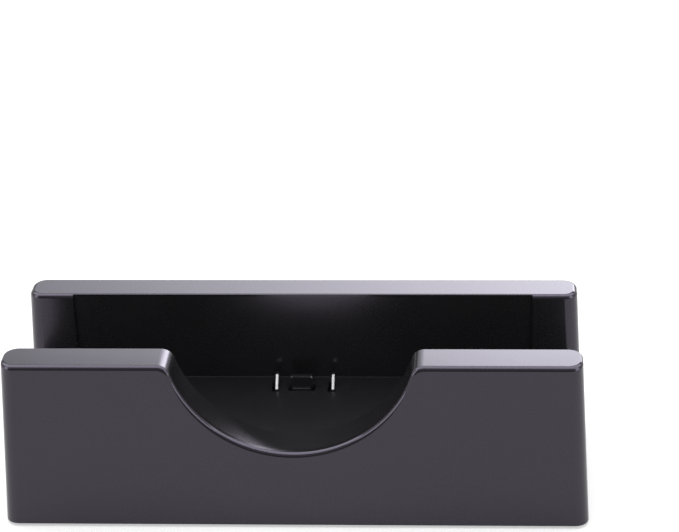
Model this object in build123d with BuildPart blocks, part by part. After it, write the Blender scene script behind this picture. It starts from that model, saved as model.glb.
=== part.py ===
# Charging dock for a closed handheld console, in millimetres.
# X runs across the dock, -Y is the front with the round notch, +Z is up.
# The origin is under the middle of the dock, on the surface that the feet stand on.
import os
from math import cos, pi, radians, sin, tan

from build123d import *

os.makedirs("parts", exist_ok=True)

# Outer moulding
top_width = 130.0  # across the wall tops
front_wall = 8.9  # front wall, measured at its top
slot_width = 25.5  # slot that the console stands in
rear_wall = 8.9  # rear wall, measured at its top
shell_height = 40.0
draft_angle = 2.8  # lean of all four outer faces, in degrees
wall_end_radius = 3.3  # upright rounds at the ends of both walls
top_edge_radius = 0.6
skin = 2.2  # moulded wall thickness
rib_thickness = 1.4
front_rib_x = 44.0  # ribs in the hollow front wall, either side of the notch
rear_rib_x = 22.0  # inner ribs in the hollow rear wall
rear_rib_step = 26.0  # from an inner rib to the outer rib beside it

# Notch in the front wall, and recess in the rear wall
notch_radius = 28.0
notch_sill = 0.9  # lowest point of the notch above the slot floor
notch_corner_radius = 2.3
recess_width = 108.8
recess_depth = 0.7

# Sprung contacts and the peg between them
contact_pitch = 13.4
contact_shift = 0.4  # middle of the contacts, right of the middle of the dock
contact_setback = 4.65  # contact line to the face of the rear wall's recess
blade_thickness = 0.6
blade_width = 4.0  # fin, front to back
blade_rise = 3.0  # tip of the fin above the slot floor
blade_slope_run = 2.6  # how far the fin's front edge slopes back
blade_foot_rise = 0.3  # where that slope starts, above the slot floor
blade_tip_radius = 0.6
shoulder_overhang = 1.0  # shoulder beyond the fin, front and back
shoulder_height = 2.0
nib_width = 1.0
nib_length = 1.0
blade_travel = 2.0
blade_stop_gap = 0.1  # shoulder to the underside of the floor
blade_guide_gap = 0.15  # round the shoulder in its guide
blade_end_gap = 0.2  # below the shoulder at the end of its travel
window_gap = 0.4  # floor slot beyond the fin, front and back
window_near_gap = 0.2  # floor slot to the right of a fin
window_far_gap = 1.0  # floor slot to the left of a fin
peg_width = 5.9
peg_top_width = 4.9
peg_thickness = 1.5
peg_rise = 3.1  # above the slot floor
peg_shoulder = 1.5  # where its sides start to lean in, above the slot floor
peg_edge = 0.35
peg_offset = 0.8  # the peg stands left of the contacts' middle
peg_gap = 0.2  # all round the peg and its step in the floor
step_width = 4.3  # low step in front of the peg
step_depth = 0.95
step_rise = 0.45  # above the slot floor
step_edge = 0.2

# Terminal block, springs and circuit board
carrier_height = 7.6
carrier_depth = 7.6
carrier_side = 3.6  # block beyond each contact
carrier_edge = 0.5
spring_diameter = 2.2
spring_wire = 0.3
spring_turns = 4
spring_sides = 8  # straight lengths in a turn
spring_gap = 0.05  # at each end of a spring
spring_bore_gap = 0.3  # round a spring in its bore
board_width = 44.0
board_depth = 18.5
board_thickness = 1.6
board_standoff = 4.2  # board above the base plate
board_rear_gap = 0.8  # board to the inside of the rear wall
board_screw_x = 16.5
board_boss_diameter = 5.0
support_rib_length = 18.0
support_rib_spacing = 6.0
support_rib_thickness = 1.6

# Power inlet on the rear edge of the board
inlet_width = 9.2
inlet_height = 5.2
inlet_length = 7.0
inlet_wall = 0.8
inlet_throat = 5.4  # depth of its mouth
inlet_mouth_radius = 0.8
inlet_recess = 2.8  # mouth behind the outside of the rear wall
inlet_gap = 0.4  # all round the inlet in the rear wall
tongue_width = 5.4
tongue_height = 1.2
tongue_length = 4.4
terminal_width = 1.0
terminal_thickness = 0.25
terminal_pitch = 2.6
terminal_reach = 3.6  # contact strip along the tongue
terminal_gap = 0.1  # round a terminal in the inlet and behind it
tail_length = 1.2  # below the board
tail_hole_gap = 0.2

# Base plate, feet and screws
plate_thickness = 2.0
plate_gap = 0.15  # all round the plate in the shell
lip_height = 2.4
lip_thickness = 1.2
lip_length = 30.0
lip_x = 25.0
lip_inset = 0.3  # lip behind the edge of the plate
foot_height = 0.8  # rubber below the plate
foot_diameter = 10.0
foot_seat_depth = 0.5
foot_seat_gap = 0.1
foot_inset_x = 9.0  # foot centre from the plate's end
foot_inset_y = 8.5  # foot centre from the plate's front or rear edge
base_screw_inset = 20.0  # screw centre from the plate's end
base_screw_spacing = 20.0  # front screws to rear screws
base_boss_diameter = 6.0
base_shank_diameter = 2.5
base_head_diameter = 5.0
base_screw_length = 9.0
countersink_angle = 90.0
board_shank_diameter = 2.0
board_head_width = 4.0  # across the flats
board_head_height = 1.6
board_screw_length = 6.5  # below the head
shank_gap = 0.05  # round a shank in its pilot hole
pilot_spare = 0.8  # pilot hole beyond the screw's end
screw_hole_gap = 0.25  # round a shank where it passes freely
head_gap = 0.05  # round a countersunk head

# Levels and places that follow from these
lean = tan(radians(draft_angle))
shell_bottom = foot_height
shell_top = shell_bottom + shell_height
plate_top = shell_bottom + plate_thickness
board_bottom = plate_top + board_standoff
board_top = board_bottom + board_thickness
floor_under = board_top + carrier_height
floor_top = floor_under + skin
slot_depth = shell_top - floor_top
pocket_top = shell_top - skin
notch_centre = floor_top + notch_sill + notch_radius
top_depth = front_wall + slot_width + rear_wall
slot_front = front_wall - top_depth / 2
slot_rear = slot_front + slot_width
recess_face = slot_rear + recess_depth
contact_y = recess_face - contact_setback
left_contact_x = contact_shift - contact_pitch / 2
right_contact_x = contact_shift + contact_pitch / 2
peg_x = contact_shift - peg_offset
step_front = contact_y - peg_thickness / 2 - step_depth
step_top = floor_top + step_rise
shoulder_width = blade_width + 2 * shoulder_overhang
shoulder_top = floor_under - blade_stop_gap
shoulder_bottom = shoulder_top - shoulder_height
board_tip = board_bottom + board_screw_length
base_tip = shell_bottom + base_screw_length


def outer_width(level):
    return top_width + 2 * lean * (shell_top - level)


def outer_depth(level):
    return top_depth + 2 * lean * (shell_top - level)


def leaning_outline(size_at, high, inset):
    low_half = size_at(shell_bottom) / 2 - inset
    high_half = size_at(high) / 2 - inset
    return [(-low_half, shell_bottom), (low_half, shell_bottom), (high_half, high), (-high_half, high)]


def is_upright(edge):
    return abs((edge % 0.5).Z) > 0.5


inlet_z = board_top + inlet_height / 2
inlet_mouth = outer_depth(inlet_z) / 2 - inlet_recess
inlet_back = inlet_mouth - inlet_length
throat_end = inlet_mouth - inlet_throat
tongue_top = inlet_z + tongue_height / 2
tail_face = inlet_back - terminal_gap
tail_y = tail_face - terminal_thickness / 2
board_rear = outer_depth(board_top) / 2 - skin - board_rear_gap
board_y = board_rear - board_depth / 2
plate_width = outer_width(plate_top) - 2 * (skin + plate_gap)
plate_depth = outer_depth(plate_top) - 2 * (skin + plate_gap)
inner_corner = wall_end_radius - skin
base_screw_x = plate_width / 2 - base_screw_inset
foot_x = plate_width / 2 - foot_inset_x
foot_y = plate_depth / 2 - foot_inset_y
lip_y = plate_depth / 2 - lip_inset - lip_thickness / 2

# Hollow inside the moulding: it follows the outside, the slot and the notch at one skin's distance.
with BuildPart() as inner_space:
    with BuildSketch(Plane.YZ):
        Polygon(*leaning_outline(outer_depth, pocket_top, skin), align=None)
    extrude(amount=top_width, both=True)
    with BuildSketch(Plane.XZ):
        Polygon(*leaning_outline(outer_width, pocket_top, skin), align=None)
    extrude(amount=top_depth, both=True, mode=Mode.INTERSECT)
    fillet(inner_space.edges().filter_by(is_upright), inner_corner)
    with BuildSketch(Plane.YZ):
        with Locations(((slot_front + recess_face) / 2, (floor_under + shell_top) / 2)):
            Rectangle(recess_face - slot_front + 2 * skin, shell_top - floor_under)
    extrude(amount=top_width, both=True, mode=Mode.SUBTRACT)
    with BuildSketch(Plane.XZ):
        with Locations((0, notch_centre)):
            Circle(notch_radius + skin)
    extrude(amount=top_depth, mode=Mode.SUBTRACT)
    with BuildSketch(Plane.XY.offset(floor_under)):
        with Locations((-front_rib_x, -top_depth / 2), (front_rib_x, -top_depth / 2)):
            Rectangle(rib_thickness, top_depth)
        for x in (rear_rib_x, rear_rib_x + rear_rib_step):
            with Locations((-x, top_depth / 2), (x, top_depth / 2)):
                Rectangle(rib_thickness, top_depth)
    extrude(amount=slot_depth, mode=Mode.SUBTRACT)

# Upper housing: a leaning block with a wall along its front and one along its rear, hollow from below.
with BuildPart() as upper_housing:
    with BuildSketch(Plane.YZ):
        Polygon(*leaning_outline(outer_depth, shell_top, 0), align=None)
        with Locations(((slot_front + slot_rear) / 2, (floor_top + shell_top) / 2)):
            Rectangle(slot_width, slot_depth, mode=Mode.SUBTRACT)
    extrude(amount=top_width, both=True)
    with BuildSketch(Plane.XZ):
        Polygon(*leaning_outline(outer_width, shell_top, 0), align=None)
    extrude(amount=top_depth, both=True, mode=Mode.INTERSECT)
    fillet(upper_housing.edges().filter_by(is_upright), wall_end_radius)
    with BuildSketch(Plane.XZ):
        with Locations((0, notch_centre)):
            Circle(notch_radius)
    extrude(amount=top_depth, mode=Mode.SUBTRACT)
    top_edges_along_y = upper_housing.edges().filter_by(Axis.Y).group_by(Axis.Z)[-1]
    fillet(top_edges_along_y.filter_by(lambda e: abs(e.center().X) < notch_radius), notch_corner_radius)
    fillet(upper_housing.faces().group_by(Axis.Z)[-1].edges(), top_edge_radius)
    with BuildSketch(Plane.XZ.offset(-slot_rear)):
        with Locations((0, (floor_top + shell_top) / 2)):
            Rectangle(recess_width, slot_depth)
    extrude(amount=-recess_depth, mode=Mode.SUBTRACT)
    add(inner_space.part, mode=Mode.SUBTRACT)
    # Bosses under the floor for the base plate and for the board, then their pilot holes.
    with BuildSketch(Plane.XY.offset(plate_top)):
        with GridLocations(2 * base_screw_x, base_screw_spacing, 2, 2):
            Circle(base_boss_diameter / 2)
    extrude(amount=floor_under - plate_top)
    with BuildSketch(Plane.XY.offset(board_top)):
        with Locations((-board_screw_x, contact_y), (board_screw_x, contact_y)):
            Circle(board_boss_diameter / 2)
    extrude(amount=carrier_height)
    with BuildSketch(Plane.XY.offset(plate_top)):
        with GridLocations(2 * base_screw_x, base_screw_spacing, 2, 2):
            Circle(base_shank_diameter / 2 + shank_gap)
    extrude(amount=base_tip + pilot_spare - plate_top, mode=Mode.SUBTRACT)
    with BuildSketch(Plane.XY.offset(board_top)):
        with Locations((-board_screw_x, contact_y), (board_screw_x, contact_y)):
            Circle(board_shank_diameter / 2 + shank_gap)
    extrude(amount=board_tip + pilot_spare - board_top, mode=Mode.SUBTRACT)
    # Floor slots for the two fins, and the opening for the peg and its step.
    with BuildSketch(Plane.XY.offset(floor_under)):
        for x in (left_contact_x, right_contact_x):
            with Locations((x + (window_near_gap - window_far_gap) / 2, contact_y)):
                Rectangle(blade_thickness + window_near_gap + window_far_gap, blade_width + 2 * window_gap)
        with Locations((peg_x, contact_y - step_depth / 2)):
            Rectangle(peg_width + 2 * peg_gap, peg_thickness + step_depth + 2 * peg_gap)
    extrude(amount=skin, mode=Mode.SUBTRACT)
    # Opening in the rear wall for the power inlet.
    with BuildSketch(Plane.XZ.offset(-inlet_back)):
        with Locations((0, inlet_z)):
            RectangleRounded(inlet_width + 2 * inlet_gap, inlet_height + 2 * inlet_gap,
                             inlet_mouth_radius + inlet_gap)
    extrude(amount=-2 * inlet_length, mode=Mode.SUBTRACT)

# Base plate: closes the moulding from below, with lips inside its walls and ribs under the board.
with BuildPart() as base_plate:
    with BuildSketch(Plane.XY.offset(shell_bottom)):
        RectangleRounded(plate_width, plate_depth, inner_corner)
    extrude(amount=plate_thickness)
    with BuildSketch(Plane.XY.offset(plate_top)):
        with GridLocations(2 * lip_x, 2 * lip_y, 2, 2):
            Rectangle(lip_length, lip_thickness)
    extrude(amount=lip_height)
    with BuildSketch(Plane.XY.offset(plate_top)):
        with Locations((0, contact_y)):
            with GridLocations(0, support_rib_spacing, 1, 2):
                Rectangle(support_rib_length, support_rib_thickness)
    extrude(amount=board_bottom - plate_top)
    with BuildSketch(Plane.XY.offset(shell_bottom)):
        with GridLocations(2 * foot_x, 2 * foot_y, 2, 2):
            Circle(foot_diameter / 2 + foot_seat_gap)
    extrude(amount=foot_seat_depth, mode=Mode.SUBTRACT)
    with Locations(Plane(origin=(0, 0, shell_bottom), z_dir=(0, 0, -1))):
        with GridLocations(2 * base_screw_x, base_screw_spacing, 2, 2):
            CounterSinkHole(base_shank_diameter / 2 + screw_hole_gap, base_head_diameter / 2 + head_gap,
                            plate_thickness, countersink_angle)

# Terminal block: guides the two contacts and carries the peg between them.
with BuildPart() as contact_carrier:
    with BuildSketch(Plane.XY.offset(board_top)):
        with Locations((contact_shift, contact_y)):
            Rectangle(contact_pitch + 2 * carrier_side, carrier_depth)
    extrude(amount=carrier_height)
    chamfer(contact_carrier.edges().filter_by(Axis.Z), carrier_edge)
    guide_bottom = shoulder_bottom - blade_travel - blade_end_gap
    with BuildSketch(Plane.XY.offset(guide_bottom)):
        with Locations((left_contact_x, contact_y), (right_contact_x, contact_y)):
            Rectangle(blade_thickness + 2 * blade_guide_gap, shoulder_width + 2 * blade_guide_gap)
    extrude(amount=floor_under - guide_bottom, mode=Mode.SUBTRACT)
    with BuildSketch(Plane.XY.offset(board_top)):
        with Locations((left_contact_x, contact_y), (right_contact_x, contact_y)):
            Circle(spring_diameter / 2 + spring_bore_gap)
    extrude(amount=shoulder_bottom + blade_end_gap - board_top, mode=Mode.SUBTRACT)
    with BuildSketch(Plane.XZ.offset(-contact_y - peg_thickness / 2)):
        with BuildLine():
            Polyline(
                (peg_x - peg_width / 2, floor_under),
                (peg_x + peg_width / 2, floor_under),
                (peg_x + peg_width / 2, floor_top + peg_shoulder),
                (peg_x + peg_top_width / 2, floor_top + peg_rise),
                (peg_x - peg_top_width / 2, floor_top + peg_rise),
                (peg_x - peg_width / 2, floor_top + peg_shoulder),
                close=True,
            )
        make_face()
    extrude(amount=peg_thickness)
    chamfer(contact_carrier.faces().sort_by(Axis.Z)[-1].edges(), peg_edge)
    with BuildSketch(Plane.YZ.offset(peg_x - step_width / 2)):
        with BuildLine():
            Polyline(
                (contact_y, floor_under),
                (contact_y, step_top),
                (step_front + step_edge, step_top),
                (step_front, step_top - step_edge),
                (step_front, floor_under),
                close=True,
            )
        make_face()
    extrude(amount=step_width)

# One stamped contact, standing at x = 0: sloped fin, shoulder and spring nib.
with BuildPart() as contact_blade:
    with BuildSketch(Plane.YZ.offset(-blade_thickness / 2)) as blade_profile:
        with BuildLine():
            fin_front = contact_y - blade_width / 2
            fin_rear = contact_y + blade_width / 2
            tip = floor_top + blade_rise
            Polyline(
                (contact_y - nib_width / 2, shoulder_bottom - nib_length),
                (contact_y + nib_width / 2, shoulder_bottom - nib_length),
                (contact_y + nib_width / 2, shoulder_bottom),
                (fin_rear + shoulder_overhang, shoulder_bottom),
                (fin_rear + shoulder_overhang, shoulder_top),
                (fin_rear, shoulder_top),
                (fin_rear, tip),
                (fin_front + blade_slope_run, tip),
                (fin_front, floor_top + blade_foot_rise),
                (fin_front, shoulder_top),
                (fin_front - shoulder_overhang, shoulder_top),
                (fin_front - shoulder_overhang, shoulder_bottom),
                (contact_y - nib_width / 2, shoulder_bottom),
                close=True,
            )
        make_face()
        fillet(blade_profile.vertices().group_by(Axis.Y)[-1], blade_tip_radius)
    extrude(amount=blade_thickness)

# One coil spring of square wire, standing at x = 0 on the board under a contact's shoulder.
spring_low = board_top + spring_gap + spring_wire / 2
spring_high = shoulder_bottom - spring_gap - spring_wire / 2
coil_radius = (spring_diameter - spring_wire) / 2
coil_steps = spring_turns * spring_sides


def coil_point(step):
    angle = 2 * pi * step / spring_sides
    level = spring_low + (spring_high - spring_low) * step / coil_steps
    return (coil_radius * cos(angle), contact_y + coil_radius * sin(angle), level)


with BuildPart() as contact_spring:
    with BuildLine() as coil:
        Polyline(*[coil_point(step) for step in range(coil_steps + 1)])
    with BuildSketch(Plane(origin=coil.line @ 0, z_dir=coil.line % 0)):
        Rectangle(spring_wire, spring_wire)
    sweep(path=coil.line, transition=Transition.RIGHT)

# Circuit board under the terminal block and the inlet.
with BuildPart() as circuit_board:
    with BuildSketch(Plane.XY.offset(board_bottom)):
        with Locations((0, board_y)):
            Rectangle(board_width, board_depth)
        with Locations((-board_screw_x, contact_y), (board_screw_x, contact_y)):
            Circle(board_shank_diameter / 2 + screw_hole_gap, mode=Mode.SUBTRACT)
        with Locations((-terminal_pitch / 2, tail_y), (terminal_pitch / 2, tail_y)):
            Rectangle(terminal_width + 2 * tail_hole_gap, terminal_thickness + 2 * tail_hole_gap,
                      mode=Mode.SUBTRACT)
    extrude(amount=board_thickness)

# Power inlet: a moulded body with an open mouth and a tongue inside it.
with BuildPart() as inlet_body:
    with BuildSketch(Plane.XZ.offset(-inlet_back)):
        with Locations((0, inlet_z)):
            RectangleRounded(inlet_width, inlet_height, inlet_mouth_radius)
    extrude(amount=-inlet_length)
    with BuildSketch(Plane.XZ.offset(-throat_end)):
        with Locations((0, inlet_z)):
            Rectangle(inlet_width - 2 * inlet_wall, inlet_height - 2 * inlet_wall)
            Rectangle(tongue_width, tongue_height, mode=Mode.SUBTRACT)
    extrude(amount=-inlet_throat, mode=Mode.SUBTRACT)
    with BuildSketch(Plane.XZ.offset(-throat_end - tongue_length)):
        with Locations((0, inlet_z)):
            Rectangle(tongue_width, tongue_height)
    extrude(amount=-(inlet_throat - tongue_length), mode=Mode.SUBTRACT)
    with BuildSketch(Plane.XZ.offset(-inlet_back)):
        for x in (-terminal_pitch / 2, terminal_pitch / 2):
            with Locations((x, tongue_top + terminal_thickness / 2)):
                Rectangle(terminal_width + 2 * terminal_gap, terminal_thickness + 2 * terminal_gap)
    extrude(amount=-(inlet_length - inlet_throat), mode=Mode.SUBTRACT)

# Two bent terminals: along the tongue, out of the back of the inlet and down through the board.
with BuildPart() as inlet_terminals:
    for x in (-terminal_pitch / 2, terminal_pitch / 2):
        with BuildSketch(Plane.YZ.offset(x - terminal_width / 2)):
            with BuildLine():
                Polyline(
                    (throat_end + terminal_reach, tongue_top),
                    (throat_end + terminal_reach, tongue_top + terminal_thickness),
                    (tail_face - terminal_thickness, tongue_top + terminal_thickness),
                    (tail_face - terminal_thickness, board_bottom - tail_length),
                    (tail_face, board_bottom - tail_length),
                    (tail_face, tongue_top),
                    close=True,
                )
            make_face()
        extrude(amount=terminal_width)

# One rubber foot, standing at the origin.
with BuildPart() as foot:
    with BuildSketch():
        Circle(foot_diameter / 2)
    extrude(amount=foot_height + foot_seat_depth)

# One countersunk screw, head down on the underside of the base plate.
with BuildPart() as base_screw:
    head_radius = base_head_diameter / 2
    shank_radius = base_shank_diameter / 2
    head_height = (head_radius - shank_radius) / tan(radians(countersink_angle / 2))
    with BuildSketch(Plane.XZ):
        with BuildLine():
            Polyline(
                (0, shell_bottom),
                (head_radius, shell_bottom),
                (shank_radius, shell_bottom + head_height),
                (shank_radius, base_tip),
                (0, base_tip),
                close=True,
            )
        make_face()
    revolve(axis=Axis.Z)

# One six-sided screw, head down against the underside of the board.
with BuildPart() as board_screw:
    with BuildSketch(Plane.XY.offset(board_bottom - board_head_height)):
        RegularPolygon(board_head_width / 2, 6, major_radius=False)
    extrude(amount=board_head_height)
    with BuildSketch(Plane.XY.offset(board_bottom)):
        Circle(board_shank_diameter / 2)
    extrude(amount=board_screw_length)

with BuildPart() as base_screws:
    with GridLocations(2 * base_screw_x, base_screw_spacing, 2, 2):
        add(base_screw.part)

with BuildPart() as board_screws:
    with Locations((-board_screw_x, contact_y), (board_screw_x, contact_y)):
        add(board_screw.part)

# Finished pieces, each in its own place.
pieces = {
    "upper_housing": upper_housing.part,
    "base_plate": base_plate.part,
    "contact_carrier": contact_carrier.part,
    "circuit_board": circuit_board.part,
    "inlet_body": inlet_body.part,
    "inlet_terminals": inlet_terminals.part,
    "base_screws": base_screws.part,
    "board_screws": board_screws.part,
}
for side, x in (("left", left_contact_x), ("right", right_contact_x)):
    pieces[f"contact_blade_{side}"] = Pos(x, 0, 0) * contact_blade.part
    pieces[f"contact_spring_{side}"] = Pos(x, 0, 0) * contact_spring.part
for end, y in (("front", -foot_y), ("rear", foot_y)):
    for side, x in (("left", -foot_x), ("right", foot_x)):
        pieces[f"foot_{end}_{side}"] = Pos(x, y, 0) * foot.part

for name, piece in pieces.items():
    piece.label = name
    export_step(piece, f"parts/{name}.step")
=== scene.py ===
from math import acos, atan2, cos, pi, radians, sin, sqrt, tan

import bmesh
import bpy
from mathutils import Matrix, Vector


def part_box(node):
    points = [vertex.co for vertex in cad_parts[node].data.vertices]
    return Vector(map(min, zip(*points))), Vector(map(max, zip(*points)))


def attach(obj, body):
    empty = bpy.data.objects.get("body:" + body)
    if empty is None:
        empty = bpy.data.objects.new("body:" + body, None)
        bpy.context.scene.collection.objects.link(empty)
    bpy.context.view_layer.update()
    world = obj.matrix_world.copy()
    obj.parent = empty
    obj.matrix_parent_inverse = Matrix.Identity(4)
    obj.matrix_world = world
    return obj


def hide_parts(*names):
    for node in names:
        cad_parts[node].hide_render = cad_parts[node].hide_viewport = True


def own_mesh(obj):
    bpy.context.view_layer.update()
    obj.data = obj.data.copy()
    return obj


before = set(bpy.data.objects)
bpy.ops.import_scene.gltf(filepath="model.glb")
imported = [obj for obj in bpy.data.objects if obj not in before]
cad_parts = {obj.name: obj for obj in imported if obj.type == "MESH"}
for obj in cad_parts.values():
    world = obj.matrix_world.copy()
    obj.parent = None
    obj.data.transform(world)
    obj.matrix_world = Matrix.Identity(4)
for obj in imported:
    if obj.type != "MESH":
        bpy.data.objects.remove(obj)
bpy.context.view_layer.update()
mm = 0.001  # pieces are modelled in millimetres and scaled to metres when they are finished
overlap = 0.5  # how far joined blocks reach into each other
clear = 1.0  # how far a cutting tool reaches past a surface
sharpFold = 0.8  # an edge folded by more than this, in radians, is a corner


# Modelling helpers

def nodeBox(node):
    low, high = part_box(node)
    return low / mm, high / mm


def deselect():
    bpy.ops.object.select_all(action="DESELECT")


def activate(obj):
    deselect()
    obj.select_set(True)
    bpy.context.view_layer.objects.active = obj


def discard(obj):
    bpy.data.objects.remove(obj, do_unlink=True)


def edit(obj):
    activate(obj)
    bpy.ops.object.mode_set(mode="EDIT")
    bpy.ops.mesh.select_mode(type="VERT")


def leaveEdit():
    bpy.ops.object.mode_set(mode="OBJECT")


def pickAll():
    bpy.ops.mesh.select_all(action="SELECT")


def pick(obj, kind, test):
    bpy.ops.mesh.select_mode(type=kind)
    bpy.ops.mesh.select_all(action="DESELECT")
    mesh = bmesh.from_edit_mesh(obj.data)
    mesh.normal_update()
    items = {"VERT": mesh.verts, "EDGE": mesh.edges, "FACE": mesh.faces}[kind]
    for item in items:
        if test(item):
            item.select_set(True)
    mesh.select_flush_mode()
    bmesh.update_edit_mesh(obj.data)


def along(edge):
    return (edge.verts[1].co - edge.verts[0].co).normalized()


def isUpright(edge):
    return abs(along(edge).z) > 0.9


def isFrontBack(edge):
    return abs(along(edge).y) > 0.99


def isCrossways(edge):
    return abs(along(edge).x) > 0.9


def fold(edge):
    return edge.calc_face_angle(0.0)


def lowest(edge):
    return min(vert.co.z for vert in edge.verts)


def highest(edge):
    return max(vert.co.z for vert in edge.verts)


def extrude(*shift):
    bpy.ops.mesh.extrude_region_move(TRANSFORM_OT_translate={"value": shift})


def bevelEdges(obj, test, width, segments):
    edit(obj)
    pick(obj, "EDGE", test)
    bpy.ops.mesh.bevel(offset=width, segments=segments, profile=0.5, affect="EDGES", clamp_overlap=False)
    leaveEdit()


def place(obj, name):
    obj.name = name
    bpy.ops.object.transform_apply(location=True, rotation=True, scale=True)
    return obj


def block(name, low, high):
    low, high = Vector(low), Vector(high)
    deselect()
    bpy.ops.mesh.primitive_cube_add(size=1, location=(low + high) / 2, scale=high - low)
    return place(bpy.context.object, name)


def rod(name, radius, low, high, spot=(0, 0), sides=64):
    deselect()
    middle = (spot[0], spot[1], (low + high) / 2)
    bpy.ops.mesh.primitive_cylinder_add(vertices=sides, radius=radius, depth=high - low, location=middle)
    return place(bpy.context.object, name)


def startOutline(name, spot):
    # a single point in edit mode, from which an outline is drawn
    deselect()
    bpy.ops.mesh.primitive_plane_add(size=1, location=spot)
    obj = place(bpy.context.object, name)
    edit(obj)
    pickAll()
    bpy.ops.mesh.merge(type="CENTER")
    return obj


def closeOutline(*shift):
    # fills the outline and draws it out into a solid
    bpy.ops.mesh.edge_face_add()
    pickAll()
    extrude(*shift)
    pickAll()
    bpy.ops.mesh.normals_make_consistent(inside=False)
    leaveEdit()


def combine(obj, tool, operation="DIFFERENCE"):
    activate(obj)
    bpy.ops.object.modifier_add(type="BOOLEAN")
    modifier = obj.modifiers[-1]
    modifier.object = tool
    modifier.operation = operation
    modifier.solver = "EXACT"
    bpy.ops.object.modifier_apply(modifier=modifier.name)
    discard(tool)


def copyPiece(obj, name, shift):
    activate(obj)
    bpy.ops.object.duplicate(linked=False)
    other = bpy.context.object
    other.location = shift
    return place(other, name)


def finishPiece(obj, name, body, nodes, material, sharpAngle=35):
    obj.name = name
    edit(obj)
    pickAll()
    bpy.ops.mesh.remove_doubles(threshold=0.0005)
    bpy.ops.mesh.normals_make_consistent(inside=False)
    leaveEdit()
    obj.scale = (mm, mm, mm)
    bpy.ops.object.transform_apply(location=True, rotation=True, scale=True)
    bpy.ops.object.shade_smooth_by_angle(angle=radians(sharpAngle))
    bpy.ops.object.modifier_add(type="WEIGHTED_NORMAL")
    modifier = obj.modifiers[-1]
    modifier.keep_sharp = True
    modifier.weight = 100
    bpy.ops.object.modifier_apply(modifier=modifier.name)
    obj.data.materials.clear()
    obj.data.materials.append(material)
    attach(obj, body)
    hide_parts(*nodes)
    print("finished", name, len(obj.data.polygons), "faces")


# Materials

def newGroup(name, inputs, outputs):
    group = bpy.data.node_groups.new(name, "ShaderNodeTree")
    for label, kind in inputs:
        group.interface.new_socket(name=label, in_out="INPUT", socket_type=kind)
    for label, kind in outputs:
        group.interface.new_socket(name=label, in_out="OUTPUT", socket_type=kind)
    return group, group.nodes.new("NodeGroupInput"), group.nodes.new("NodeGroupOutput")


def addNoise(tree, vector, scale, detail):
    noise = tree.nodes.new("ShaderNodeTexNoise")
    noise.inputs["Scale"].default_value = scale
    noise.inputs["Detail"].default_value = detail
    tree.links.new(vector, noise.inputs["Vector"])
    return noise.outputs["Fac"]


def addMath(tree, operation, first, second):
    node = tree.nodes.new("ShaderNodeMath")
    node.operation = operation
    for socket, value in zip(node.inputs, (first, second)):
        if isinstance(value, (int, float)):
            socket.default_value = value
        else:
            tree.links.new(value, socket)
    return node.outputs[0]


def addRange(tree, value, low, high):
    node = tree.nodes.new("ShaderNodeMapRange")
    node.inputs["From Min"].default_value = 0.3  # noise seldom leaves 0.3 to 0.7
    node.inputs["From Max"].default_value = 0.7
    tree.links.new(value, node.inputs["Value"])
    for socket, limit in (("To Min", low), ("To Max", high)):
        if isinstance(limit, (int, float)):
            node.inputs[socket].default_value = limit
        else:
            tree.links.new(limit, node.inputs[socket])
    return node.outputs["Result"]


def addRamp(tree, value, between, limits):
    ramp = tree.nodes.new("ShaderNodeMapRange")
    ramp.interpolation_type = "SMOOTHSTEP"
    for socket, amount in zip(("From Min", "From Max", "To Min", "To Max"), (*between, *limits)):
        ramp.inputs[socket].default_value = amount
    tree.links.new(value, ramp.inputs["Value"])
    return ramp.outputs["Result"]


def addMix(tree, factor, first, second):
    node = tree.nodes.new("ShaderNodeMix")
    node.data_type = "RGBA"
    tree.links.new(factor, node.inputs[0])
    tree.links.new(first, node.inputs[6])
    tree.links.new(second, node.inputs[7])
    return node.outputs[2]


surfaceInputs = (
    ("Dark", "NodeSocketColor"),
    ("Light", "NodeSocketColor"),
    ("Smooth", "NodeSocketFloat"),
    ("Rough", "NodeSocketFloat"),
)
surfaceOutputs = (
    ("Color", "NodeSocketColor"),
    ("Roughness", "NodeSocketFloat"),
    ("Height", "NodeSocketFloat"),
)
reliefDepth = 0.00002  # metres


def joinSurface(group, given, result, tone, sheen, height):
    shade = addRange(group, tone, 0.0, 1.0)
    color = addMix(group, shade, given.outputs["Dark"], given.outputs["Light"])
    rough = addRange(group, sheen, given.outputs["Smooth"], given.outputs["Rough"])
    group.links.new(color, result.inputs["Color"])
    group.links.new(rough, result.inputs["Roughness"])
    group.links.new(height, result.inputs["Height"])
    return group


def makeGrainGroup():
    group, given, result = newGroup("mouldGrain", surfaceInputs, surfaceOutputs)
    coords = group.nodes.new("ShaderNodeTexCoord").outputs["Object"]
    broad = addNoise(group, coords, 55.0, 3.0)  # slow drift across a moulding
    fine = addNoise(group, coords, 2600.0, 2.0)  # spark-eroded grain
    drift = addMath(group, "MULTIPLY", broad, 0.6)
    speckle = addMath(group, "MULTIPLY", fine, 0.4)
    return joinSurface(group, given, result, addMath(group, "ADD", drift, speckle), broad, fine)


def makeDrawnGroup():
    group, given, result = newGroup("drawnMetal", surfaceInputs, surfaceOutputs)
    coords = group.nodes.new("ShaderNodeTexCoord").outputs["Object"]
    stretch = group.nodes.new("ShaderNodeMapping")
    stretch.inputs["Scale"].default_value = (4000.0, 4000.0, 260.0)  # fine lines along the height
    group.links.new(coords, stretch.inputs["Vector"])
    lines = addNoise(group, stretch.outputs["Vector"], 1.0, 3.0)
    stain = addNoise(group, coords, 420.0, 3.0)
    return joinSurface(group, given, result, stain, lines, lines)


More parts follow.
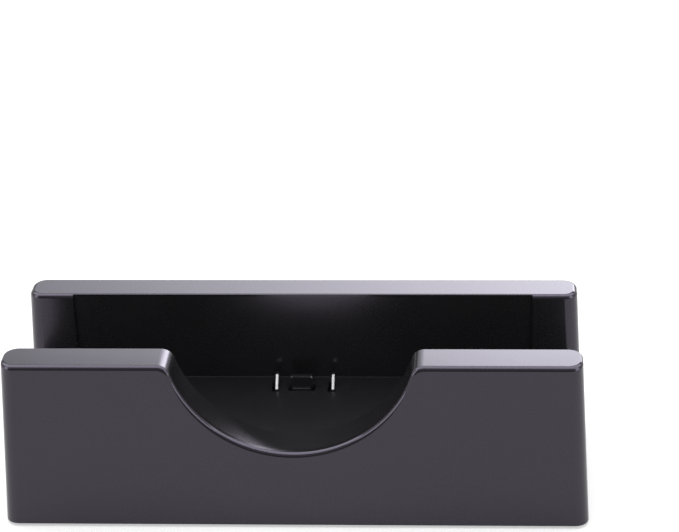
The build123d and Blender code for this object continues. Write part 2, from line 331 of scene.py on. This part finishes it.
def makeMaterial(name, group, dark, light, smooth, rough, bump, metallic=0.0):
    material = bpy.data.materials.new(name)
    material.use_nodes = True
    tree = material.node_tree
    shader = tree.nodes["Principled BSDF"]
    shader.inputs["Metallic"].default_value = metallic
    shader.inputs["IOR"].default_value = 1.5
    surface = tree.nodes.new("ShaderNodeGroup")
    surface.node_tree = group
    for (label, kind), value in zip(surfaceInputs, ((*dark, 1), (*light, 1), smooth, rough)):
        surface.inputs[label].default_value = value
    relief = tree.nodes.new("ShaderNodeBump")
    relief.inputs["Strength"].default_value = bump
    relief.inputs["Distance"].default_value = reliefDepth
    tree.links.new(surface.outputs["Color"], shader.inputs["Base Color"])
    tree.links.new(surface.outputs["Roughness"], shader.inputs["Roughness"])
    tree.links.new(surface.outputs["Height"], relief.inputs["Height"])
    tree.links.new(relief.outputs["Normal"], shader.inputs["Normal"])
    return material


satin = {
    "specular": 0.53,
    "tint": (0.87, 0.78, 1.0),
    # each pair is where the slot's duller finish is gone, and where it is full
    "ends": (65.5, 63.0),
    "front": (-21.2, -20.2),
    "rear": (16.0, 13.6),
    "top": (40.4, 39.9),
    "duller": 0.09,
}


def makeSlotGroup():
    # the slot and the notch are a little duller than the outside of the housing
    sockets = (("Roughness", "NodeSocketFloat"),)
    group, given, result = newGroup("slotFinish", sockets, sockets)
    split = group.nodes.new("ShaderNodeSeparateXYZ")
    group.links.new(group.nodes.new("ShaderNodeTexCoord").outputs["Object"], split.inputs[0])
    across = addMath(group, "ABSOLUTE", split.outputs["X"], 0.0)
    mask = addRamp(group, across, [edge * mm for edge in satin["ends"]], (0.0, 1.0))
    for axis, key in (("Y", "front"), ("Y", "rear"), ("Z", "top")):
        share = addRamp(group, split.outputs[axis], [edge * mm for edge in satin[key]], (0.0, 1.0))
        mask = addMath(group, "MULTIPLY", mask, share)
    duller = addMath(group, "MULTIPLY", mask, satin["duller"])
    group.links.new(addMath(group, "ADD", given.outputs["Roughness"], duller), result.inputs["Roughness"])
    return group


def addSlotFinish(material):
    tree = material.node_tree
    shader = tree.nodes["Principled BSDF"]
    shader.inputs["Specular IOR Level"].default_value = satin["specular"]
    shader.inputs["Specular Tint"].default_value = (*satin["tint"], 1)
    surface = tree.nodes.new("ShaderNodeGroup")
    surface.node_tree = makeSlotGroup()
    tree.links.new(shader.inputs["Roughness"].links[0].from_socket, surface.inputs[0])
    tree.links.new(surface.outputs[0], shader.inputs["Roughness"])


# each is given its dark and light colour, its smoothest and roughest, its relief and whether it is metal
grain = makeGrainGroup()
drawn = makeDrawnGroup()
satinBlack = makeMaterial("satinBlack", grain, (0.0122, 0.0119, 0.0126), (0.0150, 0.0147, 0.0155),
                          0.10, 0.13, 0.06)
addSlotFinish(satinBlack)
plainBlack = makeMaterial("plainBlack", grain, (0.014, 0.014, 0.015), (0.020, 0.020, 0.022),
                          0.45, 0.55, 0.3)
smoothBlack = makeMaterial("smoothBlack", grain, (0.011, 0.011, 0.012), (0.016, 0.016, 0.018),
                           0.22, 0.30, 0.08)
blackRubber = makeMaterial("blackRubber", grain, (0.016, 0.016, 0.016), (0.026, 0.026, 0.026),
                           0.7, 0.85, 0.4)
greenBoard = makeMaterial("greenBoard", grain, (0.010, 0.075, 0.028), (0.014, 0.10, 0.04),
                          0.3, 0.45, 0.2)
nickel = makeMaterial("nickel", drawn, (0.74, 0.74, 0.72), (0.84, 0.84, 0.81),
                      0.16, 0.28, 0.15, 1.0)
springSteel = makeMaterial("springSteel", drawn, (0.46, 0.46, 0.46), (0.58, 0.58, 0.57),
                           0.22, 0.36, 0.2, 1.0)
brass = makeMaterial("brass", drawn, (0.68, 0.50, 0.22), (0.78, 0.60, 0.30),
                     0.2, 0.34, 0.2, 1.0)
darkZinc = makeMaterial("darkZinc", drawn, (0.28, 0.28, 0.29), (0.38, 0.38, 0.39),
                        0.28, 0.42, 0.25, 1.0)
print("materials made")


# Places that several pieces share, from the frame

def middleOf(node):
    low, high = nodeBox(node)
    return (low + high) / 2


contactSpots = [middleOf("contact_blade_" + side).x for side in ("left", "right")]
contactLine = middleOf("contact_blade_left").y
footSpots = {name: middleOf(name).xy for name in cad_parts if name.startswith("foot_")}
plateThickness = 2.0
plateTop = nodeBox("base_plate")[0].z + plateThickness
boardTop = nodeBox("circuit_board")[1].z
screwHead = 2.5  # radius
screwReach = nodeBox("base_screws")[1] - Vector((screwHead, screwHead, 0))
screwSpots = [(sx * screwReach.x, sy * screwReach.y) for sx in (-1, 1) for sy in (-1, 1)]


# Housing: one black moulding with a slot right through, a round notch and a shallow recess

housing = {
    "lean": 2.8,  # degrees, all four outer faces
    "frontWall": 8.9,
    "slotWidth": 25.5,
    "floorTop": 18.4,
    "skin": 2.2,
    "innerCorner": 1.1,
    "ribs": ((-44.0, -1), (44.0, -1), (-48.0, 1), (-22.0, 1), (22.0, 1), (48.0, 1)),
    "ribThickness": 1.4,
    "endRadius": 3.3,
    "topEdge": 1.1,
    "slotEdge": 0.4,  # on the front wall, towards the slot
    "narrowing": (0.15, 0.5),  # where one turns into the other: its start and length, in half turns
    "rim": 0.4,  # above the floor: corners higher than this are rounded
    "floorSeam": 0.3,
    "notchRadius": 28.0,
    "notchSill": 0.6,
    "notchCorner": 3.2,
    "recess": (54.4, 0.7),  # half its width, and its depth
    "window": (1.8, 4.8),
    "windowShift": -0.4,
    "floorCut": (10.0, 30.0),  # levels between which the windows are cut
    "baseBoss": (3.0, 1.3, 10.6),  # radius, pilot radius and its end
    "boardBoss": (2.5, 1.05, 14.3),
    "boardBossX": 16.5,
    "inletWindow": (10.0, 6.0, 1.2),  # width, height and corner
    "inletLevel": 11.2,
    "inletFrom": 18.0,  # where the cut through the rear wall starts
}
peg = {
    "shift": -0.8,  # from the middle between the contacts
    "size": (5.9, 1.5),
    "topWidth": 4.9,
    "shoulder": 1.5,  # above the floor, where its sides start to lean in
    "edge": 0.2,
    "corner": 0.45,  # how far its front corners are cut off
    "step": (4.3, 0.95, 0.45),  # low step in front: width, depth and rise
    "stepEdge": 0.2,
    "gap": 0.2,
}
pegX = sum(contactSpots) / 2 + peg["shift"]
notchLevel = housing["floorTop"] + housing["notchSill"] + housing["notchRadius"]
farX, farY, farZ = 90.0, 40.0, 60.0  # past the housing on every side, for cutting tools


def drafted(name, half, low, high, lean):
    obj = block(name, (-half[0], -half[1], low), (half[0], half[1], high))
    drawnIn = lean * (high - low)
    edit(obj)
    pick(obj, "FACE", lambda face: face.normal.z > 0.9)
    shares = (1 - drawnIn / half[0], 1 - drawnIn / half[1], 1)
    bpy.ops.transform.resize(value=shares, center_override=(0, 0, high))
    leaveEdit()
    return obj


def drawArc(centre, angle, steps):
    bpy.ops.mesh.spin(steps=steps, angle=angle, center=centre, axis=(0, -1, 0), dupli=False)


def notchTool(topLevel, front, back):
    radius, corner, lift = housing["notchRadius"], housing["notchCorner"], 10.0
    centre = Vector((0, front, notchLevel))
    cornerLevel = topLevel - corner
    cornerX = sqrt((radius + corner) ** 2 - (centre.z - cornerLevel) ** 2)
    turn = acos((centre.z - cornerLevel) / (radius + corner))
    tool = startOutline("notchTool", (-cornerX, front, topLevel))
    drawArc((-cornerX, front, cornerLevel), turn, 12)
    drawArc(centre, -2 * turn, 96)
    drawArc((cornerX, front, cornerLevel), turn, 12)
    extrude(0, 0, lift)
    extrude(-2 * cornerX, 0, 0)
    pickAll()
    bpy.ops.mesh.remove_doubles(threshold=0.0001)
    closeOutline(0, back - front, 0)
    return tool


def wallEndTool(low, high, lean, slotRear):
    # rounds one inner wall end: an arc in plan, drawn up along the leaning end face
    radius, level, over = housing["endRadius"], housing["floorTop"], 6.0
    rise = high.z + over - level
    end = high.x - lean * (level - low.z)
    tool = startOutline("wallEndTool", (end - radius, slotRear, level))
    bpy.ops.mesh.spin(steps=14, angle=pi / 2, center=(end - radius, slotRear + radius, level),
                      axis=(0, 0, -1), dupli=False)
    for step in ((over, 0, 0), (0, -radius - over, 0), (-radius - over, 0, 0)):
        extrude(*step)
    pickAll()
    closeOutline(-lean * rise, 0, rise)
    return tool


def mirrored(obj, shares, middle):
    activate(obj)
    bpy.ops.object.duplicate(linked=False)
    other = bpy.context.object
    edit(other)
    pickAll()
    bpy.ops.transform.resize(value=(*shares, 1), center_override=middle)
    bpy.ops.mesh.normals_make_consistent(inside=False)
    leaveEdit()
    return other


def makeHollow(low, high, lean, slotFront, slotRear):
    skin, reach = housing["skin"], 60.0
    half = [high[axis] - skin + lean * clear for axis in (0, 1)]
    hollow = drafted("hollow", half, low.z - clear, high.z - skin, lean)
    bevelEdges(hollow, isUpright, housing["innerCorner"], 4)
    floorUnder = housing["floorTop"] - skin
    keepRear = slotRear + housing["recess"][1] + skin
    combine(hollow, block("slotKeep", (-farX, slotFront - skin, floorUnder), (farX, keepRear, farZ)))
    deselect()
    bpy.ops.mesh.primitive_cylinder_add(vertices=128, radius=housing["notchRadius"] + skin, depth=reach,
                                        location=(0, -reach / 2, notchLevel), rotation=(pi / 2, 0, 0))
    combine(hollow, place(bpy.context.object, "notchKeep"))
    thick = housing["ribThickness"] / 2
    for x, side in housing["ribs"]:
        near, far = sorted((0, side * farY))
        combine(hollow, block("rib", (x - thick, near, floorUnder), (x + thick, far, farZ)))
    return hollow


def addBosses(shell, boss, spots, bottom):
    radius, pilot, end = boss
    for spot in spots:
        combine(shell, rod("boss", radius, bottom, housing["floorTop"] - 2 * overlap, spot), "UNION")
    for spot in spots:
        combine(shell, rod("pilot", pilot, bottom - clear, end, spot, 32))


def cutSlot(shell, low, high, lean, slotFront, slotRear):
    combine(shell, block("slot", (-farX, slotFront, housing["floorTop"]), (farX, slotRear, farZ)))
    endTool = wallEndTool(low, high, lean, slotRear)
    for shares in ((-1, 1), (1, -1), (-1, -1)):
        combine(shell, mirrored(endTool, shares, (0, (slotFront + slotRear) / 2, 0)))
    combine(shell, endTool)
    combine(shell, notchTool(high.z, -farY, 0))


def roundTopEdges(shell):
    # one rounding along every upper edge, which narrows where the front wall turns to the slot
    wide, narrow = housing["topEdge"], housing["slotEdge"]
    start, length = housing["narrowing"]
    rim = housing["floorTop"] + housing["rim"]
    edit(shell)
    mesh = bmesh.from_edit_mesh(shell.data)
    mesh.normal_update()
    share = mesh.edges.layers.float.new("bevel_weight_edge")
    for edge in mesh.edges:
        if fold(edge) > sharpFold and lowest(edge) > rim:
            onFrontWall = edge.verts[0].co.y < 0
            facing = max((face.normal.y for face in edge.link_faces), key=abs)
            turned = min(max(acos(-facing) / pi - start, 0.0) / length, 1.0) if onFrontWall else 0.0
            edge[share] = 1 - turned * turned * (3 - 2 * turned) * (1 - narrow / wide)
    bmesh.update_edit_mesh(shell.data)
    leaveEdit()
    bpy.ops.object.modifier_add(type="BEVEL")
    modifier = shell.modifiers[-1]
    modifier.limit_method = "WEIGHT"
    modifier.width = wide
    modifier.segments = 8
    modifier.use_clamp_overlap = False
    bpy.ops.object.modifier_apply(modifier=modifier.name)
    shell.data.attributes.remove(shell.data.attributes["bevel_weight_edge"])


def cutRecess(shell, slotRear):
    halfWidth, depth = housing["recess"]
    floorTop, seam = housing["floorTop"], slotRear + depth
    combine(shell, block("recess", (-halfWidth, 0, floorTop), (halfWidth, seam, farZ)))
    bevelEdges(shell, lambda edge: all(abs(vert.co.y - seam) < 0.01 and abs(vert.co.z - floorTop) < 0.01
                                       for vert in edge.verts), housing["floorSeam"], 2)


def cutFloorWindows(shell):
    low, high = housing["floorCut"]
    wide, deep = housing["window"]
    near, far = contactLine - deep / 2, contactLine + deep / 2
    for x in contactSpots:
        middle = x + housing["windowShift"]
        combine(shell, block("window", (middle - wide / 2, near, low), (middle + wide / 2, far, high)))
    (wide, deep), gap = peg["size"], peg["gap"]
    near = contactLine - deep / 2 - peg["step"][1] - gap
    far = contactLine + deep / 2 + gap
    half = wide / 2 + gap
    combine(shell, block("pegWindow", (pegX - half, near, low), (pegX + half, far, high)))


def cutInletWindow(shell):
    wide, tall, corner = housing["inletWindow"]
    level, start = housing["inletLevel"], housing["inletFrom"]
    window = block("inletWindow", (-wide / 2, start, level - tall / 2), (wide / 2, farY, level + tall / 2))
    bevelEdges(window, isFrontBack, corner, 6)
    combine(shell, window)


def makeHousing():
    low, high = nodeBox("upper_housing")
    lean = tan(radians(housing["lean"]))
    topHalf = high.y - lean * (high.z - low.z)
    slotFront = housing["frontWall"] - topHalf
    slotRear = slotFront + housing["slotWidth"]
    shell = drafted("housing", (high.x, high.y), low.z, high.z, lean)
    bevelEdges(shell, isUpright, housing["endRadius"], 14)
    cutSlot(shell, low, high, lean, slotFront, slotRear)
    roundTopEdges(shell)
    cutRecess(shell, slotRear)
    cutFloorWindows(shell)
    combine(shell, makeHollow(low, high, lean, slotFront, slotRear))
    cutInletWindow(shell)
    boardSpots = [(side * housing["boardBossX"], contactLine) for side in (-1, 1)]
    addBosses(shell, housing["baseBoss"], screwSpots, plateTop)
    addBosses(shell, housing["boardBoss"], boardSpots, boardTop)
    finishPiece(shell, "housing", "dock", ["upper_housing"], satinBlack)


makeHousing()


# Base plate with locating lips, board ribs, foot seats and countersunk holes

plate = {
    "corner": 1.1,
    "edge": 0.25,
    "lip": (25.0, 30.0, 1.2, 2.4, 0.3),  # place, length, thickness, height, inset
    "rib": (18.0, 1.6, 3.0),  # length, thickness, off the contact line
    "seat": (5.1, 0.5),
    "hole": (2.55, 1.5),  # radius of the countersink and of the hole
}
foot = {
    "radius": 5.0,
    "edge": 0.35,
    "ring": (0.9, 0.25, 0.15),  # shallow moulded ring on the underside: inset, slope and depth
}


def addLips(slab, outside):
    x, length, thick, rise, inset = plate["lip"]
    outer = outside - inset
    for sx in (-1, 1):
        for sy in (-1, 1):
            near, far = sorted((sy * outer, sy * (outer - thick)))
            ends = sx * x - length / 2, sx * x + length / 2
            lip = block("lip", (ends[0], near, plateTop - overlap), (ends[1], far, plateTop + rise))
            combine(slab, lip, "UNION")


def addBoardRibs(slab, top):
    length, thick, off = plate["rib"]
    for side in (-1, 1):
        y = contactLine + side * off
        near, far = y - thick / 2, y + thick / 2
        rib = block("rib", (-length / 2, near, plateTop - overlap), (length / 2, far, top))
        combine(slab, rib, "UNION")


def cutPlateHoles(slab, bottom):
    seatRadius, seatDepth = plate["seat"]
    headRadius, holeRadius = plate["hole"]
    for spot in footSpots.values():
        combine(slab, rod("seat", seatRadius, bottom - clear, bottom + seatDepth, spot))
    coneHeight = headRadius + clear
    for spot in screwSpots:
        combine(slab, rod("hole", holeRadius, bottom - clear, plateTop + clear, spot, 48))
        deselect()
        bpy.ops.mesh.primitive_cone_add(vertices=48, radius1=coneHeight, radius2=0, depth=coneHeight,
                                        location=(*spot, bottom - clear + coneHeight / 2))
        combine(slab, place(bpy.context.object, "countersink"))


def makePlate():
    low, high = nodeBox("base_plate")
    slab = block("basePlate", low, (high.x, high.y, plateTop))
    bevelEdges(slab, isUpright, plate["corner"], 4)
    bevelEdges(slab, lambda edge: highest(edge) < low.z + 0.1, plate["edge"], 3)
    addLips(slab, high.y)
    addBoardRibs(slab, high.z)
    cutPlateHoles(slab, low.z)
    finishPiece(slab, "basePlate", "dock", ["base_plate"], plainBlack)


def makeFeet():
    low, high = nodeBox("foot_front_left")
    first = rod("foot", foot["radius"], low.z, high.z)
    bevelEdges(first, lambda edge: highest(edge) < low.z + 0.1, foot["edge"], 4)
    inset, slope, depth = foot["ring"]
    edit(first)
    pick(first, "FACE", lambda face: face.normal.z < -0.999)
    bpy.ops.mesh.inset(thickness=inset)
    bpy.ops.mesh.inset(thickness=slope, depth=-depth)
    leaveEdit()
    for node, spot in footSpots.items():
        copy = copyPiece(first, node + "_pad", (*spot, 0))
        finishPiece(copy, node + "_pad", "dock", [node], blackRubber)
    discard(first)


makePlate()
makeFeet()


# Countersunk screws in the underside

screw = {
    "shank": 1.25,
    "drive": (2.6, 0.7, 0.8),  # length, width and depth of the cross
}


def makeDrive(bottom):
    length, width, depth = screw["drive"]
    low, high = bottom - clear, bottom + depth
    drive = block("drive", (-length / 2, -width / 2, low), (length / 2, width / 2, high))
    combine(drive, block("cross", (-width / 2, -length / 2, low), (width / 2, length / 2, high)), "UNION")
    return drive


def makeScrews():
    low, high = nodeBox("base_screws")
    neck = low.z + screwHead - screw["shank"]
    body = rod("screw", screwHead, low.z, neck, sides=48)
    edit(body)
    pick(body, "FACE", lambda face: face.normal.z > 0.9)
    share = screw["shank"] / screwHead
    bpy.ops.transform.resize(value=(share, share, 1), center_override=(0, 0, neck))
    extrude(0, 0, high.z - neck)
    leaveEdit()
    combine(body, makeDrive(low.z))
    copies = [copyPiece(body, "screwCopy", (*spot, 0)) for spot in screwSpots]
    discard(body)
    activate(copies[0])
    for copy in copies:
        copy.select_set(True)
    bpy.ops.object.join()
    finishPiece(copies[0], "countersunkScrews", "dock", ["base_screws"], darkZinc)


makeScrews()


# Terminal block with its peg, the two sprung contacts and their coils

carrier = {
    "edge": 0.5,
    "top": 16.2,
    "guide": (0.9, 6.3, 11.9),  # width, depth and lower end
    "bore": (1.4, 14.3),  # radius and upper end
}
blade = {
    "thickness": 0.6,
    "fin": 4.0,
    "shoulder": (6.0, 2.0),
    "nib": (1.0, 1.0),
    "slope": (2.6, 2.7),  # run and rise of the sloping front edge
    "tipRadius": 0.6,
    "edge": 0.14,
    "travel": 2.0,
}
coil = {
    "wire": 0.15,
    "radius": 0.95,
    "turns": 4,
    "stepsPerTurn": 30,
}


def makePeg(bottom, top):
    wide, deep = peg["size"]
    shoulder = housing["floorTop"] + peg["shoulder"]
    near, far = contactLine - deep / 2, contactLine + deep / 2
    post = block("peg", (pegX - wide / 2, near, bottom), (pegX + wide / 2, far, shoulder))
    edit(post)
    pick(post, "FACE", lambda face: face.normal.z > 0.9)
    extrude(0, 0, top - shoulder)
    bpy.ops.transform.resize(value=(peg["topWidth"] / wide, 1, 1), center_override=(pegX, contactLine, top))
    pick(post, "VERT", lambda vert: vert.co.y < near + 0.01 and vert.co.z > shoulder - 0.1)
    bpy.ops.mesh.bevel(offset=peg["corner"], segments=1, affect="VERTICES", clamp_overlap=False)
    leaveEdit()
    bevelEdges(post, lambda edge: lowest(edge) > top - 0.05 and isCrossways(edge), peg["edge"], 3)
    return post


def makeStep(bottom):
    wide, deep, rise = peg["step"]
    near = contactLine - peg["size"][1] / 2 - deep
    top = housing["floorTop"] + rise
    step = block("step", (pegX - wide / 2, near, bottom), (pegX + wide / 2, contactLine, top))
    bevelEdges(step, lambda edge: max(vert.co.y for vert in edge.verts) < near + 0.05
               and lowest(edge) > top - 0.05, peg["stepEdge"], 3)
    return step


def makeCarrier():
    low, high = nodeBox("contact_carrier")
    top = carrier["top"]
    obj = block("terminalBlock", low, (high.x, high.y, top))
    bevelEdges(obj, isUpright, carrier["edge"], 1)
    combine(obj, makePeg(top - 2 * overlap, high.z), "UNION")
    combine(obj, makeStep(top - 2 * overlap), "UNION")
    wide, deep, bottom = carrier["guide"]
    near, far = contactLine - deep / 2, contactLine + deep / 2
    radius, end = carrier["bore"]
    for x in contactSpots:
        combine(obj, block("guide", (x - wide / 2, near, bottom), (x + wide / 2, far, top + clear)))
        combine(obj, rod("bore", radius, low.z - clear, end, (x, contactLine), 40))
    finishPiece(obj, "terminalBlock", "dock", ["contact_carrier"], smoothBlack, 25)


def makeBlade():
    low, high = nodeBox("contact_blade_left")
    line = contactLine
    (shoulderWide, shoulderHigh), (nibWide, nibLong) = blade["shoulder"], blade["nib"]
    thick, fin = blade["thickness"] / 2, blade["fin"] / 2
    shoulderTop = low.z + nibLong + shoulderHigh
    obj = block("blade", (-thick, line - fin, shoulderTop), (thick, line + fin, high.z))
    edit(obj)
    pick(obj, "FACE", lambda face: face.normal.z < -0.9)
    for share, drop in ((shoulderWide / blade["fin"], shoulderHigh), (nibWide / shoulderWide, nibLong)):
        extrude(0, 0, 0)
        bpy.ops.transform.resize(value=(1, share, 1), center_override=(0, line, 0))
        extrude(0, 0, -drop)
    run, rise = blade["slope"]
    pickAll()
    bpy.ops.mesh.bisect(plane_co=(0, line - fin + run, high.z), plane_no=(0, -rise, run),
                        use_fill=True, clear_outer=True)
    leaveEdit()
    radius = blade["tipRadius"]
    slopeSetback = radius * tan(atan2(rise, run) / 2)  # a fillet's reach from the slope's top corner
    for test, reach in ((lambda y: y > line + fin - 0.05, radius), (lambda y: y < line, slopeSetback)):
        bevelEdges(obj, lambda edge: isCrossways(edge) and lowest(edge) > high.z - 0.01
                   and test(edge.verts[0].co.y), reach, 6)
    bevelEdges(obj, lambda edge: fold(edge) > sharpFold and abs(along(edge).x) < 0.5, blade["edge"], 2)
    return obj


def makeCoil(low, high):
    wire, turns = coil["wire"], coil["turns"]
    deselect()
    bpy.ops.mesh.primitive_circle_add(vertices=10, radius=wire, fill_type="NOTHING",
                                      location=(coil["radius"], 0, low.z + wire), rotation=(pi / 2, 0, 0))
    obj = place(bpy.context.object, "coil")
    bpy.ops.object.modifier_add(type="SCREW")
    turn = obj.modifiers[-1]
    turn.angle = 2 * pi
    turn.iterations = turns
    turn.screw_offset = (high.z - low.z - 2 * wire) / turns
    turn.steps = turn.render_steps = coil["stepsPerTurn"]
    turn.use_merge_vertices = False
    bpy.ops.object.modifier_apply(modifier=turn.name)
    edit(obj)
    pickAll()
    bpy.ops.mesh.fill_holes(sides=0)
    leaveEdit()
    return obj


def makeContacts():
    low, high = nodeBox("contact_spring_left")
    fin = makeBlade()
    spring = makeCoil(low, high)
    for side, x in zip(("left", "right"), contactSpots):
        contact = copyPiece(fin, "contact_" + side, (x, 0, 0))
        finishPiece(contact, "contact_" + side, side + "_contact", ["contact_blade_" + side],
                    nickel)
        wire = copyPiece(spring, "coil_" + side, (x, contactLine, 0))
        finishPiece(wire, "coil_" + side, "dock", ["contact_spring_" + side],
                    springSteel, 60)
        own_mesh(wire)
    discard(fin)
    discard(spring)


makeCarrier()
makeContacts()


# Power inlet behind the rear wall, and the finishes of the hidden pieces

inlet = {
    "edge": 0.8,
    "wall": 0.8,
    "throat": 5.4,
    "tongue": (5.4, 1.2, 4.4),  # width, thickness and length
    "terminal": (2.6, 1.2, 0.45),  # pitch, and the size of a terminal's hole
    "sunk": 0.1,  # how far the holes reach into the tongue
}


def makeInlet():
    low, high = nodeBox("inlet_body")
    body = block("inlet", low, high)
    bevelEdges(body, isFrontBack, inlet["edge"], 6)
    level, wall = housing["inletLevel"], inlet["wall"]
    end = high.y - inlet["throat"]
    mouth = block("mouth", (low.x + wall, end, low.z + wall), (high.x - wall, high.y + clear, high.z - wall))
    combine(body, mouth)
    wide, thick, length = inlet["tongue"]
    tongue = block("tongue", (-wide / 2, end - overlap, level - thick / 2),
                   (wide / 2, end + length, level + thick / 2))
    combine(body, tongue, "UNION")
    pitch, holeWide, holeHigh = inlet["terminal"]
    bottom = level + thick / 2 - inlet["sunk"]
    for x in (-pitch / 2, pitch / 2):
        left, right = x - holeWide / 2, x + holeWide / 2
        combine(body, block("hole", (left, low.y - clear, bottom), (right, end, bottom + holeHigh)))
    finishPiece(body, "powerInlet", "dock", ["inlet_body"], smoothBlack)


makeInlet()
hiddenFinishes = {"circuit_board": greenBoard, "inlet_terminals": brass, "board_screws": darkZinc}
for nodeName, finish in hiddenFinishes.items():
    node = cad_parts[nodeName]
    node.data.materials.clear()
    node.data.materials.append(finish)
print("pieces made")


# Floor, light and camera

studio = {
    "floorSize": 6.0,
    "floorTone": 0.8,
    "floorLift": 0.45,  # brings the lit floor up to white and keeps its shadow
    "skyForDiffuse": 0.7,
    "top": ((-0.1, 0.15, 1.3), 1.2, 9.0),  # place, size and power of the soft light overhead
    "rearCard": ((0.12, 1.18, 0.56), (2.0, 1.0)),  # place and size of a card seen in gloss only
    "rearFrom": (0.36, 1.2),  # how far along the card its glow starts to rise, and the glow there
    "rearTo": (-0.29, 11.0),
    "rearFall": (-0.36, -0.12, 0.3),  # where the glow has fallen again, where that starts, the share left
    "rearTop": (0.22, 0.16),  # how far up the card its glow is gone, and where it is full
    "rearFoot": (-0.2, -0.1, 0.15),  # where it has faded at the foot, where it is full, the share left
    "topCard": ((0.0, 0.31, 1.21), (3.0, 1.59), 4.2),  # place, size and glow of the other cards
    "crownCard": ((0.0, -0.75, 1.0), (3.0, 0.86), 0.6),
    "frontCard": ((0.0, -1.6, 0.55), (5.0, 1.2), 0.15),
    "leftCard": ((-1.4, -0.55, 0.7), (0.8, 1.5), 4.0),
    "rightCard": ((1.4, -0.55, 0.7), (0.8, 1.5), 4.0),
    "cardTint": (0.985, 0.99, 1.04),
    "target": (0.0, 0.0, 0.02),  # what the light and the cards face
}
view = {
    "place": (0.04335, -0.42355, 0.26910),
    "yaw": 2.301,
    "tilt": 25.484,
    "roll": -0.989,
    "lens": 110.889,
    "shift": (-0.1034, -0.0700),  # the photo is cropped from a wider one
}


def seenDirectly(tree):
    path = tree.nodes.new("ShaderNodeLightPath")
    seen = addMath(tree, "MAXIMUM", path.outputs["Is Camera Ray"], path.outputs["Is Glossy Ray"])
    return addMath(tree, "MAXIMUM", seen, path.outputs["Is Transmission Ray"])


def makeFloor():
    deselect()
    bpy.ops.mesh.primitive_plane_add(size=studio["floorSize"])
    floor = bpy.context.object
    floor.name = "floor"
    material = bpy.data.materials.new("paleFloor")
    material.use_nodes = True
    tree = material.node_tree
    shader = tree.nodes["Principled BSDF"]
    tone = studio["floorTone"]
    shader.inputs["Base Color"].default_value = (tone, tone, tone, 1)
    shader.inputs["Roughness"].default_value = 1.0
    shader.inputs["Specular IOR Level"].default_value = 0.0
    shader.inputs["Emission Color"].default_value = (1, 1, 1, 1)
    lift = addMath(tree, "MULTIPLY", seenDirectly(tree), studio["floorLift"])
    tree.links.new(lift, shader.inputs["Emission Strength"])
    floor.data.materials.append(material)


def makeSky():
    world = bpy.data.worlds.new("sky")
    bpy.context.scene.world = world
    world.use_nodes = True
    tree = world.node_tree
    background = tree.nodes["Background"]
    background.inputs["Color"].default_value = (1, 1, 1, 1)
    strength = addRamp(tree, seenDirectly(tree), (0.0, 1.0), (studio["skyForDiffuse"], 1.0))
    tree.links.new(strength, background.inputs["Strength"])


def aimAtPart(obj):
    obj.rotation_euler = (Vector(studio["target"]) - obj.location).to_track_quat("-Z", "Y").to_euler()


def makeLights():
    spot, size, power = studio["top"]
    bpy.ops.object.light_add(type="AREA", location=spot)
    light = bpy.context.object
    light.name = "topSoftbox"
    light.data.size = size
    light.data.energy = power
    light.visible_camera = False
    light.visible_glossy = False  # the cards below stand in for it there
    aimAtPart(light)


def makeCard(name, spot, size):
    # a softbox that only reflections see
    deselect()
    bpy.ops.mesh.primitive_plane_add(size=1, location=spot)
    card = bpy.context.object
    card.name = name
    card.scale = (*size, 1)
    aimAtPart(card)
    material = bpy.data.materials.new(name + "Glow")
    material.use_nodes = True
    tree = material.node_tree
    tree.nodes.remove(tree.nodes["Principled BSDF"])
    emission = tree.nodes.new("ShaderNodeEmission")
    emission.inputs["Color"].default_value = (*studio["cardTint"], 1)
    tree.links.new(emission.outputs[0], tree.nodes["Material Output"].inputs["Surface"])
    card.data.materials.append(material)
    card.visible_camera = card.visible_diffuse = card.visible_shadow = card.visible_transmission = False
    return tree, emission


def makeRearCard():
    tree, emission = makeCard("rearCard", *studio["rearCard"])
    split = tree.nodes.new("ShaderNodeSeparateXYZ")
    tree.links.new(tree.nodes.new("ShaderNodeTexCoord").outputs["Object"], split.inputs[0])
    (start, low), (end, high) = studio["rearFrom"], studio["rearTo"]
    glow = addRamp(tree, split.outputs["X"], (start, end), (low, high))
    for axis, key in (("X", "rearFall"), ("Y", "rearTop"), ("Y", "rearFoot")):
        gone, full, *left = studio[key]
        share = addRamp(tree, split.outputs[axis], (gone, full), (*(left or [0.0]), 1.0))
        glow = addMath(tree, "MULTIPLY", glow, share)
    tree.links.new(glow, emission.inputs["Strength"])


def makeCards():
    makeRearCard()
    for name in ("topCard", "crownCard", "frontCard", "leftCard", "rightCard"):
        spot, size, glow = studio[name]
        tree, emission = makeCard(name, spot, size)
        emission.inputs["Strength"].default_value = glow


def makeCamera():
    yaw, tilt, roll = (radians(view[key]) for key in ("yaw", "tilt", "roll"))
    back = Vector((sin(yaw) * cos(tilt), -cos(yaw) * cos(tilt), sin(tilt)))
    level = Vector((cos(yaw), sin(yaw), 0))
    rise = back.cross(level)
    right = level * cos(roll) + rise * sin(roll)
    up = rise * cos(roll) - level * sin(roll)
    turned = Matrix((right, up, back)).transposed().to_4x4()
    turned.translation = Vector(view["place"])
    bpy.ops.object.camera_add()
    camera = bpy.context.object
    camera.name = "photoCamera"
    camera.matrix_world = turned
    camera.data.sensor_fit = "HORIZONTAL"
    camera.data.sensor_width = 36.0
    camera.data.lens = view["lens"]
    camera.data.shift_x, camera.data.shift_y = view["shift"]
    camera.data.clip_start = 0.01
    bpy.context.scene.camera = camera


makeFloor()
makeSky()
makeLights()
makeCards()
makeCamera()
bpy.context.scene.view_settings.view_transform = "Standard"
print("stage set")
